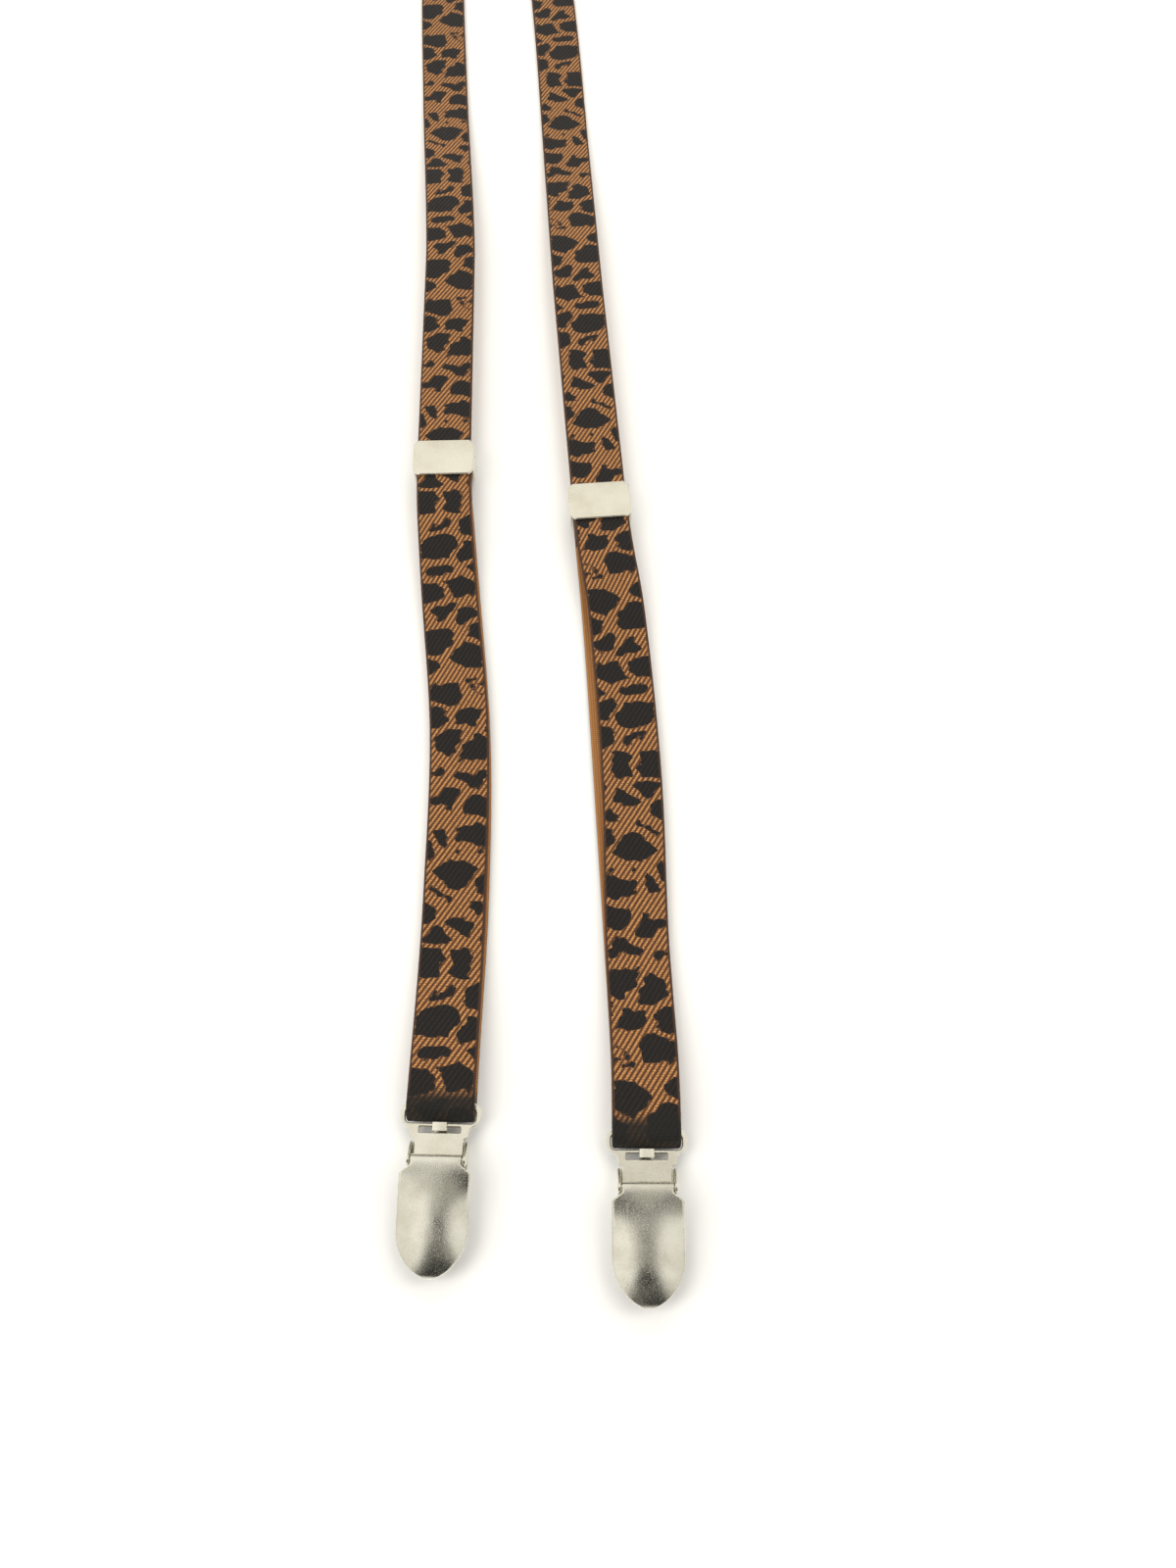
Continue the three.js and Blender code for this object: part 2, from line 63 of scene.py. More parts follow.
# ---- webbing ----
STRAP_WIDTH = 15 * MM
STRAP_STEP = 2.1 * MM                 # length of one row of the mesh along a strap
TURN_STEP = 9                         # degrees of one row where the webbing turns
FOLD_RADIUS = 2.5 * MM                # middle of the webbing round a clip's loop
LOOP_RADIUS = 1.65 * MM               # middle of the webbing round an adjuster's bar
BACK_TAIL = 30 * MM                   # sewn-down end of the back strap
PATTERN_REPEAT = 130                  # mm of strap before the spots repeat
SPOT_PITCH = 7.8                      # mm between neighbouring spots
RIDGE_PITCH, RIDGE_ANGLE = 1.3, 57    # mm across the strap, and degrees from across
WEFT_PITCH = 0.55                     # mm between rows of weft

LAID_TOP = 1.65 * MM                  # over webbing that lies on the surface
DOUBLED_LOW = 1.7 * MM                # under the layer that lies on the back strap's sewn tail
SINGLE_TOP = 3.1 * MM                 # over the back strap's single layer, and under its yoke end
TURNED_LOW = 3.6 * MM                 # under the sewn end that turns back over an adjuster's bar

# Half thickness of the webbing (mm) against distance in from its edge: a rolled selvage,
# the groove beside it, and the flat middle, which has a few more columns of points.
SECTION = [(0, 0), (0.08, 0.26), (0.25, 0.44), (0.5, 0.55), (0.8, 0.54), (1.1, 0.49), (1.5, 0.55),
           (2.4, 0.59), (7.5, 0.6)]
FLAT_COLUMNS = [2.4, 3.4, 4.5, 5.5, 6.5]

# ---- clips and adjusters ----
LEVER_PLATE = 0.7 * MM
LEVER_TIP, LEVER_POINT = 9.8 * MM, 0.62   # length of its end, and how pointed that is (round: 0.5)
LEVER_CROWN, LEVER_CROWN_RUN = 0.2 * MM, 4 * MM
LEVER_DROOP, LEVER_DROOP_RUN = 1.3 * MM, 9 * MM    # how far the sides fall, and over what length
LEVER_TIP_DROP, LEVER_TIP_RUN = 1.9 * MM, 7.9 * MM
LEVER_BOW = 1.1 * MM                  # how far the plate falls from the neck to the tip
LEVER_NECK = 10.9 * MM
LEVER_SHOULDER = (3.05 * MM, 0.85 * MM)   # from the pivot: the full width, and the full neck
LEVER_ROLL, LEVER_LOBE, LEVER_BORE = 1.25 * MM, 1.8 * MM, 0.8 * MM    # radii round the pin
LEVER_ACROSS = np.sin(np.linspace(-math.pi / 2, math.pi / 2, 31))     # columns, -1 to 1
PLATE, EAR, HOOK_WIDTH = 0.8 * MM, 0.6 * MM, 3.2 * MM
JAW_HALF, JAW_INSET = 6.3 * MM, 0.55 * MM  # half the jaws' width, and how far inside the lever
JAW_STRAIGHT, JAW_LEAST = -9 * MM, 0.05    # Y where the narrowing starts, and its limit
PAD_TAPER, PAD_TAPERED = 0.36, 3 * MM      # how much narrower a pad's front end is, and how far
COVER_PLATE, COVER_EAR_SET = 0.7 * MM, 1.7 * MM
COVER_CROWN = 0.28 * MM               # how far an adjuster's cover curves down at its ends
TOOTH_PITCH, TOOTH_WIDTH = 2 * MM, 1.2 * MM

# ---- yoke ----
LEATHER_THICK = 1.2 * MM
LEATHER_PRESSED = 1.38 * MM           # underside of the front layer where it meets the back one
LEATHER_OVER_STRAP = 2.85 * MM
LEATHER_ROUNDING = 0.5 * MM
FRONT_STRAPS_END = 22 * MM            # how far the front straps reach into the yoke
FRONT_SWELL = (8.1 * MM, 12 * MM)     # from a strap's middle: the leather is lifted, and is flat
BACK_SWELL = (8.1 * MM, 11.5 * MM)
SEAM_INSET, GROOVE_DEPTH, GROOVE_WIDTH = 2.6 * MM, 0.16 * MM, 0.45 * MM
STITCH, NEEDLE_ROOM = 2.9 * MM, 0.09  # length of one stitch, and the share left free at each end
THREAD_RADIUS, THREAD_SIDES, THREAD_ROWS = 0.2 * MM, 6, 6
BOX_HALF, BOX_LENGTH = 5.4 * MM, 10 * MM   # the crossed box stitch on the back strap


# ---------------------------------------------------------------- geometry helpers
def unit(vectors):
    return vectors / np.linalg.norm(vectors, axis=-1, keepdims=True)


def ease(value, low, high):
    """0 below low, 1 above high, and smooth between them."""
    t = np.clip((value - low) / (high - low), 0, 1)
    return t * t * (3 - 2 * t)


def cad_points(node):
    return np.array([v.co for v in frame["nodes"][node].data.vertices])


def local_frame(joint):
    """A clip's or adjuster's own axes at a joint: X to its right, Y away from the tip."""
    axis = Vector(JOINTS[joint]["axis"])
    side = -axis if joint.endswith(("swivel", "lever_open", "lock_tilt")) else axis
    matrix = Matrix([side, Vector(UP).cross(side), Vector(UP)]).transposed().to_4x4()
    matrix.translation = Vector(JOINTS[joint]["pos_m"])
    return matrix


def local_box(node, matrix):
    """Lowest and highest corner of a CAD node along the axes of a local frame."""
    turned = np.array([matrix.inverted() @ Vector(p) for p in cad_points(node)])
    return turned.min(0), turned.max(0)


def ring_faces(first, rows, count):
    """The quads between rows of points that each close on themselves."""
    return [[first + (i + down) * count + (k + on) % count
             for down, on in ((0, 0), (0, 1), (1, 1), (1, 0))]
            for i in range(rows - 1) for k in range(count)]


def skin(name, outer, inner):
    """One closed mesh between two grids of points, (rows, columns, 3), that meet at their sides."""
    ring = np.concatenate([outer, inner[:, -2:0:-1]], axis=1)
    rows, count = ring.shape[:2]
    faces = ring_faces(0, rows, count)
    faces += [list(range(count))[::-1], list(range((rows - 1) * count, rows * count))]
    mesh = bpy.data.meshes.new(name)
    mesh.from_pydata(ring.reshape(-1, 3).tolist(), [], faces)
    return mesh


def tidy_mesh(mesh, weld=0.0, sharp=35):
    """Joins doubled points, turns every face outwards and shades it smooth up to an angle."""
    bm = bmesh.new()
    bm.from_mesh(mesh)
    if weld:
        bmesh.ops.remove_doubles(bm, verts=bm.verts, dist=weld)
        bmesh.ops.dissolve_degenerate(bm, edges=bm.edges, dist=weld)
    bmesh.ops.recalc_face_normals(bm, faces=bm.faces)
    bm.to_mesh(mesh)
    bm.free()
    mesh.polygons.foreach_set("use_smooth", [True] * len(mesh.polygons))
    mesh.set_sharp_from_angle(angle=math.radians(sharp))
    return mesh


def show(mesh, materials, replaced=(), body=None):
    """Puts a mesh in the scene as a piece, riding on a body unless it is to be blended."""
    piece = bpy.data.objects.new(mesh.name, mesh)
    bpy.context.scene.collection.objects.link(piece)
    for material in materials:
        mesh.materials.append(material)
    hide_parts(*replaced)
    if body:
        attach(piece, body)
    return piece


# ---------------------------------------------------------------- materials
class Graph:
    """Shader nodes, added one call at a time. A value is a number, a colour or a socket."""

    def __init__(self, tree):
        self.nodes, self.links = tree.nodes, tree.links

    def put(self, socket, value):
        if isinstance(value, bpy.types.NodeSocket):
            self.links.new(value, socket)
        elif socket.type == "RGBA" and len(value) == 3:
            socket.default_value = (*value, 1.0)
        else:
            socket.default_value = value

    def add(self, kind, values, output=0, **settings):
        node = self.nodes.new("ShaderNode" + kind)
        for key, value in settings.items():
            setattr(node, key, value)
        for key, value in values.items():
            self.put(node.inputs[key], value)
        return node.outputs[output]

    def math(self, operation, a, b=0.0, c=0.0):
        return self.add("Math", {0: a, 1: b, 2: c}, operation=operation)

    def step(self, value, low, high, start=0.0, end=1.0):
        """A smooth step from start, at low, to end, at high."""
        return self.add("MapRange", {"Value": value, "From Min": low, "From Max": high,
                                     "To Min": start, "To Max": end},
                        interpolation_type="SMOOTHSTEP")

    def mix(self, factor, a, b, blend="MIX"):
        return self.add("Mix", {0: factor, 6: a, 7: b}, output=2, data_type="RGBA",
                        blend_type=blend)

    def noise(self, vector, scale, detail=2.0, output="Fac"):
        return self.add("TexNoise", {"Vector": vector, "Scale": scale, "Detail": detail}, output)

    def wave(self, value, pitch):
        """0 to 1 and back every pitch."""
        cosine = self.math("COSINE", self.math("MULTIPLY", value, math.tau / pitch))
        return self.math("MULTIPLY_ADD", cosine, 0.5, 0.5)


class Surface(Graph):
    """The nodes of a material with a principled shader."""

    def __init__(self, name, **sockets):
        self.material = bpy.data.materials.new(name)
        self.material.use_nodes = True
        super().__init__(self.material.node_tree)
        self.shader = self.nodes["Principled BSDF"]
        self.finish(**sockets)

    def place(self):
        return self.add("TexCoord", {}, "Object")

    def relief(self, height, depth):
        self.put(self.shader.inputs["Normal"],
                 self.add("Bump", {"Height": height, "Distance": depth, "Strength": 1.0}))

    def finish(self, **sockets):
        for socket, value in sockets.items():
            self.put(self.shader.inputs[socket.replace("_", " ")], value)
        return self.material


def strap_space(graph):
    """Distance across (u) and along (s) a strap in mm, from the map on each webbing piece."""
    split = graph.add("SeparateXYZ", {"Vector": graph.add("UVMap", {}, uv_map="strap")}).node
    return split.outputs["X"], split.outputs["Y"]


def twill(graph, u, s):
    """Heights of the diagonal ridges, and of the same ridges beaded by the weft."""
    angle = math.radians(RIDGE_ANGLE)
    across = graph.math("SUBTRACT", graph.math("MULTIPLY", u, math.sin(angle)),
                        graph.math("MULTIPLY", s, math.cos(angle)))
    ridge = graph.math("POWER", graph.wave(across, RIDGE_PITCH * math.sin(angle)), 1.4)
    bead = graph.math("MULTIPLY_ADD", graph.wave(s, WEFT_PITCH), 0.5, 0.5)
    return ridge, graph.math("MULTIPLY", ridge, bead)


def spots(graph, u, s, ridge):
    """1 on a spot: warped cells with rounded corners, wrapped on a drum so that they repeat."""
    turn = graph.math("MULTIPLY", s, math.tau / PATTERN_REPEAT)
    drum = PATTERN_REPEAT / math.tau
    place = graph.add("CombineXYZ", {
        "X": graph.math("MULTIPLY", u, 0.8),
        "Y": graph.math("MULTIPLY", graph.math("COSINE", turn), drum),
        "Z": graph.math("MULTIPLY", graph.math("SINE", turn), drum)})
    warp = graph.add("VectorMath", {0: graph.noise(place, 0.26, 2.5, "Color"), 1: (0.5, 0.5, 0.5)},
                     operation="SUBTRACT")
    warped = graph.add("VectorMath", {0: warp, 1: (4.4, 4.4, 4.4), 2: place},
                       operation="MULTIPLY_ADD")
    cell = {"Vector": warped, "Scale": 1 / SPOT_PITCH, "Randomness": 0.88}
    to_edge = graph.add("TexVoronoi", cell, feature="DISTANCE_TO_EDGE")
    edge = graph.math("MULTIPLY", to_edge, SPOT_PITCH)
    far = graph.math("MULTIPLY", graph.add("TexVoronoi", cell), SPOT_PITCH)
    past_middle = graph.math("MAXIMUM", graph.math("SUBTRACT", far, 2.2), 0.0)
    corner = graph.math("MULTIPLY", past_middle, 0.35)
    jagged = graph.math("MULTIPLY", graph.math("SUBTRACT", ridge, 0.5), 0.3)
    depth = graph.math("ADD", graph.math("SUBTRACT", edge, corner), jagged)
    return graph.step(depth, 0.28, 0.4)


def printed_webbing():
    graph = Surface("webbing_printed", Roughness=0.74, Sheen_Weight=0.04)
    u, s = strap_space(graph)
    ridge, beads = twill(graph, u, s)
    fibre = graph.noise(graph.add("CombineXYZ", {"X": u, "Y": s}), 2.6, 3.0)
    # Painted highlight and painted shade: the bead heights, times a random fibre tone, mix the tan
    # and the spot colour each from a dark to a light end, so bead tops are lit and the gaps between
    # them shaded, over the bump of the same beads.
    light = graph.math("MULTIPLY", beads, graph.step(fibre, 0.3, 0.7, 0.45, 1.3))
    tan = graph.mix(light, (0.060, 0.018, 0.004), (0.70, 0.33, 0.115))
    dark = graph.mix(light, (0.003, 0.002, 0.002), (0.017, 0.012, 0.011))
    colour = graph.mix(spots(graph, u, s, ridge), tan, dark)
    selvage = graph.step(graph.math("ABSOLUTE", u), 6.75, 7.1)
    colour = graph.mix(selvage, colour, (0.055, 0.022, 0.010))
    # Painted shade: within about 9 mm of s = 0, which on the front straps is their fold round the
    # clip's loop, the colour goes to near black, as if that bend lay in shadow.
    fold = graph.step(graph.math("ABSOLUTE", s), 9.0, 5.0, 0.0, 0.96)
    colour = graph.mix(fold, colour, (0.006, 0.0055, 0.005))
    graph.relief(beads, 0.16 * MM)
    return graph.finish(Base_Color=colour)


def plain_webbing():
    graph = Surface("webbing_reverse", Roughness=0.82, Sheen_Weight=0.15)
    u, s = strap_space(graph)
    rows = graph.math("MULTIPLY", graph.wave(s, WEFT_PITCH), graph.wave(u, RIDGE_PITCH / 2))
    fibre = graph.noise(graph.add("CombineXYZ", {"X": u, "Y": s}), 1.8, 3.0)
    colour = graph.mix(graph.math("MULTIPLY", rows, fibre),
                       (0.26, 0.105, 0.027), (0.74, 0.38, 0.13))
    # Painted shade: within about 10 mm of s = 0, which on the front straps is their fold round the
    # clip's loop, the reverse face goes to near black, as if that bend lay in shadow.
    fold = graph.step(graph.math("ABSOLUTE", s), 10.0, 4.5, 0.0, 0.8)
    colour = graph.mix(fold, colour, (0.016, 0.012, 0.010))
    graph.relief(rows, 0.09 * MM)
    return graph.finish(Base_Color=colour)


def nickel(name, colour, tarnish, roughness):
    """Satin plate: a fine blasted grain, faint scratches, and warmer, duller patches."""
    graph = Surface(name, Metallic=1.0)
    place = graph.place()
    patch = graph.noise(place, 140, 4.0)
    grain = graph.noise(place, 5200, 2.0)
    stretched = graph.add("Mapping", {"Vector": place, "Rotation": (0, 0, 0.5),
                                      "Scale": (1400, 260, 700)})
    scratch = graph.step(graph.noise(stretched, 1.0, 1.0), 0.62, 0.74)
    shade = graph.mix(graph.step(patch, 0.35, 0.7), colour, tarnish)
    shade = graph.mix(graph.step(grain, 0.6, 0.72, 0.0, 0.7), shade, (0.98, 0.96, 0.9))
    rough = graph.math("ADD", graph.step(patch, 0.3, 0.7, roughness - 0.06, roughness + 0.07),
                       graph.math("ADD", graph.math("MULTIPLY", scratch, 0.05),
                                  graph.step(grain, 0.56, 0.7, 0.0, 0.22)))
    graph.relief(graph.math("SUBTRACT", grain, graph.math("MULTIPLY", scratch, 0.1)), 0.014 * MM)
    return graph.finish(Base_Color=shade, Roughness=rough)


def leather():
    graph = Surface("leather_black", Specular_IOR_Level=0.3)
    place = graph.place()
    grain = graph.add("TexVoronoi", {"Vector": place, "Scale": 1100, "Randomness": 1.0},
                      feature="DISTANCE_TO_EDGE")
    pebble = graph.step(grain, 0.0, 0.28)
    patch = graph.noise(place, 90, 4.0)
    colour = graph.mix(graph.math("MULTIPLY", pebble, patch),
                       (0.004, 0.0035, 0.003), (0.020, 0.017, 0.015))
    graph.relief(pebble, 0.04 * MM)
    return graph.finish(Base_Color=colour, Roughness=graph.step(patch, 0.3, 0.7, 0.5, 0.66))


def rubber():
    graph = Surface("grip_rubber")
    speck = graph.noise(graph.place(), 2600, 3.0)
    graph.relief(speck, 0.02 * MM)
    return graph.finish(Base_Color=graph.mix(speck, (0.012, 0.011, 0.010), (0.05, 0.047, 0.043)),
                        Roughness=graph.step(speck, 0.3, 0.7, 0.5, 0.7))


def thread(name, dark, light):
    graph = Surface(name, Sheen_Weight=0.3)
    place = graph.place()
    ply = graph.wave(graph.add("SeparateXYZ", {"Vector": graph.add(
        "Mapping", {"Vector": place, "Rotation": (0, 0, 0.7)})}), 0.3 * MM)
    graph.relief(ply, 0.04 * MM)
    return graph.finish(Base_Color=graph.mix(ply, dark, light),
                        Roughness=graph.step(graph.noise(place, 3000), 0.3, 0.7, 0.55, 0.75))


def pale_floor():
    graph = Surface("floor_pale")
    mottle = graph.noise(graph.place(), 30, 3.0)
    return graph.finish(Base_Color=graph.mix(mottle, (0.90, 0.90, 0.895), (0.93, 0.93, 0.925)),
                        Roughness=graph.step(mottle, 0.3, 0.7, 0.6, 0.75))


# ---------------------------------------------------------------- webbing
def stations(node, low=-1.0, high=1.0):
    """The middle of the webbing at each CAD station between two heights, in order of Y."""
    points = cad_points(node)
    points = points[(points[:, 2] > low) & (points[:, 2] < high)]
    points = points[np.argsort(points[:, 1])]
    groups = np.split(points, np.where(np.diff(points[:, 1]) > 3 * MM)[0] + 1)
    return [(group.min(0) + group.max(0)) / 2 for group in groups]


def smooth_line(points, step=STRAP_STEP):
    """Points every step along a cubic curve through the given ones, less any that nearly repeat."""
    points = np.array([p for p, after in zip(points, [*points[1:], None])
                       if after is None or np.linalg.norm(p - after) > 1 * MM])
    reach = np.concatenate([[0], np.cumsum(np.linalg.norm(np.diff(points, axis=0), axis=1))])
    slopes = np.gradient(points, reach, axis=0)
    at = np.linspace(0, reach[-1], max(2, round(reach[-1] / step)) + 1)
    i = np.clip(np.searchsorted(reach, at, side="right") - 1, 0, len(reach) - 2)
    span = (reach[i + 1] - reach[i])[:, None]
    t = (at - reach[i])[:, None] / span
    return ((1 + 2 * t) * (1 - t) ** 2 * points[i] + t * (1 - t) ** 2 * span * slopes[i]
            + t * t * (3 - 2 * t) * points[i + 1] + t * t * (t - 1) * span * slopes[i + 1])


def turned(centre, side, radius, start, end):
    """Points round a bar, by angle in degrees from the side's forward direction towards +Z."""
    forward = np.cross(UP, side)
    angles = np.radians(np.linspace(start, end, round(abs(end - start) / TURN_STEP) + 1))
    return centre + radius * (np.cos(angles)[:, None] * forward + np.sin(angles)[:, None] * UP)


class Path:
    """The middle line of a piece of webbing and its sideways direction, stretch by stretch."""

    def __init__(self):
        self.middle, self.across = [], []

    def append(self, points, across):
        skip = 1 if self.middle and np.linalg.norm(self.middle[-1] - points[0]) < 0.01 * MM else 0
        self.middle += list(points[skip:])
        self.across += list(across[skip:])

    def lay(self, points, face):
        """Over the surface, with the printed face up (1) or down (-1)."""
        line = smooth_line(points)
        self.append(line, unit(np.cross(np.gradient(line, axis=0), face * UP)))

    def turn(self, centre, side, radius, start, end, flip=1):
        line = turned(centre, side, radius, start, end)
        self.append(line, np.tile(flip * side, (len(line), 1)))


def bake_map(mesh, distance, girth, rows, count, strips):
    """A map for baking: the strap cut into strips that lie side by side."""
    margin = 1.5 * MM
    per_strip = math.ceil((rows - 1) / strips)
    i, k = np.meshgrid(np.arange(rows - 1), np.arange(count), indexing="ij")
    strip = i // per_strip
    start = distance[strip * per_strip]
    corners = [(margin + distance[i + down] - start,
                margin + strip * (girth[-1] + margin) + girth[k + on])
               for down, on in ((0, 0), (0, 1), (1, 1), (1, 0))]
    places = np.stack([np.stack(corner, axis=-1) for corner in corners], axis=2).reshape(-1, 2)
    high = strips * (girth[-1] + margin) + 2 * margin
    caps = [(margin + across, high + (side * 2 + 1) * margin + height)
            for side in (0, 1) for across, height in cap_places(girth, count)]
    places = np.concatenate([places, caps])
    layer = mesh.uv_layers.new(name="OFBake")
    layer.data.foreach_set("uv", (places / (places.max() + margin)).astype(np.float32).ravel())


def cap_places(girth, count):
    """An end's corners, flat in the map."""
    half = (count + 2) // 2
    offsets, thick = section()
    return [(offsets[k] + STRAP_WIDTH / 2, thick[k]) if k < half
            else (offsets[count - k] + STRAP_WIDTH / 2, -thick[count - k]) for k in range(count)]


def section():
    """Offsets across the webbing, closer together at its edges, and its half thickness there."""
    middle = SECTION[-1][0]
    edge = np.array([distance for distance, _ in SECTION[:-2]] + FLAT_COLUMNS)
    offsets = np.concatenate([edge - middle, [0], middle - edge[::-1]])
    half = np.interp(middle - np.abs(offsets), *np.transpose(SECTION))
    return offsets * MM, half * MM


def webbing(name, path, flip, strips, materials):
    """A strap piece along a path. Its map runs from the fold, or towards it where flip is -1."""
    middle, across = np.array(path.middle), np.array(path.across)
    along = unit(np.gradient(middle, axis=0))
    up = unit(np.cross(across, along))
    offsets, half = section()
    flat = middle[:, None] + offsets[None, :, None] * across[:, None]
    outer, inner = (flat + sign * half[None, :, None] * up[:, None] for sign in (1, -1))
    mesh = skin(name, outer, inner)

    rows, columns = len(middle), len(offsets)
    count = 2 * columns - 2
    ring = np.concatenate([offsets, offsets[-2:0:-1]])
    distance = np.concatenate([[0], np.cumsum(np.linalg.norm(np.diff(middle, axis=0), axis=1))])
    grid = np.stack(np.broadcast_arrays(ring, distance[:, None]), axis=-1)
    where = flip * grid.reshape(-1, 2) / MM
    used = np.zeros(len(mesh.loops), int)
    mesh.loops.foreach_get("vertex_index", used)
    mesh.uv_layers.new(name="strap").data.foreach_set("uv", where[used].astype(np.float32).ravel())
    shape = np.stack([ring, np.concatenate([half, -half[-2:0:-1]])], axis=-1)
    sides = np.diff(np.vstack([shape, shape[:1]]), axis=0)
    girth = np.concatenate([[0], np.cumsum(np.linalg.norm(sides, axis=1))])
    bake_map(mesh, distance, girth, rows, count, strips)
    reverse = np.tile(np.arange(count) >= columns - 1, rows - 1).astype(int)
    mesh.polygons.foreach_set("material_index", [*reverse, 1, 1])
    return tidy_mesh(mesh, sharp=50), distance[-1]


def front_strap(name, materials, way):
    """One front strap, in two pieces that meet at its fold. Its spots run one way or the other."""
    place = local_frame(f"{name}_clip_swivel")
    side, fold = np.array(place.col[0][:3]), np.array(place.translation)
    lower, upper = (stations(f"strap_front_{name}_{part}") for part in ("lower", "upper"))
    path = Path()
    path.turn(fold, side, FOLD_RADIUS, 180, 90)
    path.lay([path.middle[-1], *lower, *upper], 1)
    mesh, length = webbing(f"webbing_front_{name}", path, way, 4, materials)
    front = show(mesh, materials,
                 [f"strap_front_{name}_upper", f"strap_front_{name}_lower", f"strap_fold_{name}"])
    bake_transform(front)

    back = stations(f"strap_return_{name}")
    loop = stations(f"strap_end_loop_{name}", high=LAID_TOP)
    turned_over = stations(f"strap_end_loop_{name}", low=TURNED_LOW)
    bar = np.mean([np.array(corner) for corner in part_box(f"adjuster_bar_{name}")], axis=0)
    bar_side = np.array(local_frame(f"{name}_lock_tilt").col[0][:3])
    path = Path()
    path.turn(fold, side, FOLD_RADIUS, 180, 270, flip=-1)
    turn_start, turn_end = (turned(bar, bar_side, LOOP_RADIUS, angle, angle + TURN_STEP)[0]
                            for angle in (-90, 90))
    below = [p for p in loop if p[1] < bar[1] - 2 * MM]
    above = [p for p in turned_over if p[1] < bar[1] - 2 * MM]
    path.lay([path.middle[-1], *back, *below, turn_start], -1)
    path.turn(bar, bar_side, LOOP_RADIUS, -90, 90, flip=-1)
    path.lay([turn_end, *above[::-1]], 1)
    mesh, length = webbing(f"webbing_return_{name}", path, -way, 2, materials)
    rest = show(mesh, materials, [f"strap_return_{name}", f"strap_end_loop_{name}"])
    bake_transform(rest)


def back_strap(materials):
    """The strap from the yoke to the back clip, its end folded under. Gives its upper line."""
    place = local_frame("back_clip_swivel")
    side, fold = np.array(place.col[0][:3]), np.array(place.translation)
    tail_end = fold[1] - BACK_TAIL
    tail = [p for p in stations("strap_back", high=LAID_TOP) if p[1] > tail_end - 1 * MM]
    over = [p for p in stations("strap_back", low=DOUBLED_LOW)
            if tail_end - 4 * MM < p[1] < fold[1] - 2 * MM]
    single = [p for p in stations("strap_back", high=SINGLE_TOP) if p[1] < tail_end - 6 * MM]
    path = Path()
    path.lay([tail[0], *[p for p in tail[1:] if p[1] < fold[1] - 2 * MM],
              turned(fold, side, FOLD_RADIUS, 270, 270 - TURN_STEP)[0]], -1)
    path.turn(fold, side, FOLD_RADIUS, 270, 90, flip=1)
    folded = len(path.middle)
    path.lay([path.middle[-1], *over[::-1], *single[::-1]], 1)
    mesh, length = webbing("webbing_back", path, 1, 3, materials)
    piece = show(mesh, materials, ["strap_back"], "root")
    return np.array(path.middle[:folded:-1])


# ---------------------------------------------------------------- metal
def outlines(node, matrix, axis, level):
    """Closed outlines of a CAD node's flat faces at a level of an axis, the metal on their left."""
    bm = bmesh.new()
    bm.from_mesh(frame["nodes"][node].data)
    bm.transform(matrix.inverted())
    bmesh.ops.remove_doubles(bm, verts=bm.verts, dist=0.005 * MM)
    bm.normal_update()
    flat = [face for face in bm.faces if abs(face.normal[axis]) > 0.99
            and all(abs(vertex.co[axis] - level) < 0.02 * MM for vertex in face.verts)]
    chosen = set(flat)                # asked, never walked: its order differs from run to run
    after = {loop.vert: loop.link_loop_next.vert for face in flat for loop in face.loops
             if sum(other in chosen for other in loop.edge.link_faces) == 1}
    flip = flat[0].normal[axis] < 0
    found = []
    while after:
        vertex, line = next(iter(after)), []
        while vertex in after:
            line.append((vertex.co[(axis + 1) % 3], vertex.co[(axis + 2) % 3]))
            vertex = after.pop(vertex)
        found.append(np.array(line[::-1] if flip else line))
    bm.free()
    return found


def divided(line, spacing):
    """A closed outline with points no further apart than the spacing."""
    points = []
    for start, end in zip(line, np.roll(line, -1, axis=0)):
        count = max(1, math.ceil(np.linalg.norm(end - start) / spacing))
        points += [start + (end - start) * i / count for i in range(count)]
    return np.array(points)


def inset(line, distance):
    """A closed outline moved into the metal on its left, with mitred corners."""
    edge = unit(np.roll(line, -1, axis=0) - line)
    normal = np.stack([-edge[:, 1], edge[:, 0]], axis=-1)
    both = normal + np.roll(normal, 1, axis=0)
    return line + distance * both / np.maximum((both ** 2).sum(-1, keepdims=True) / 2, 0.4)


def inside(points, lines):
    """Which points lie in the metal between the outlines."""
    odd = np.zeros(len(points), bool)
    for line in lines:
        for (x0, y0), (x1, y1) in zip(line, np.roll(line, -1, axis=0)):
            if y0 != y1:
                crosses = (y0 > points[:, 1]) != (y1 > points[:, 1])
                odd ^= crosses & (points[:, 0] < x0 + (points[:, 1] - y0) / (y1 - y0) * (x1 - x0))
    return odd


def clear_of(points, lines, distance):
    """Which points are at least a distance from every outline."""
    nearest = np.full(len(points), np.inf)
    for line in lines:
        for start, end in zip(line, np.roll(line, -1, axis=0)):
            edge = end - start
            t = np.clip((points - start) @ edge / (edge @ edge), 0, 1)
            away = np.linalg.norm(points - start - t[:, None] * edge, axis=1)
            nearest = np.minimum(nearest, away)
    return nearest > distance


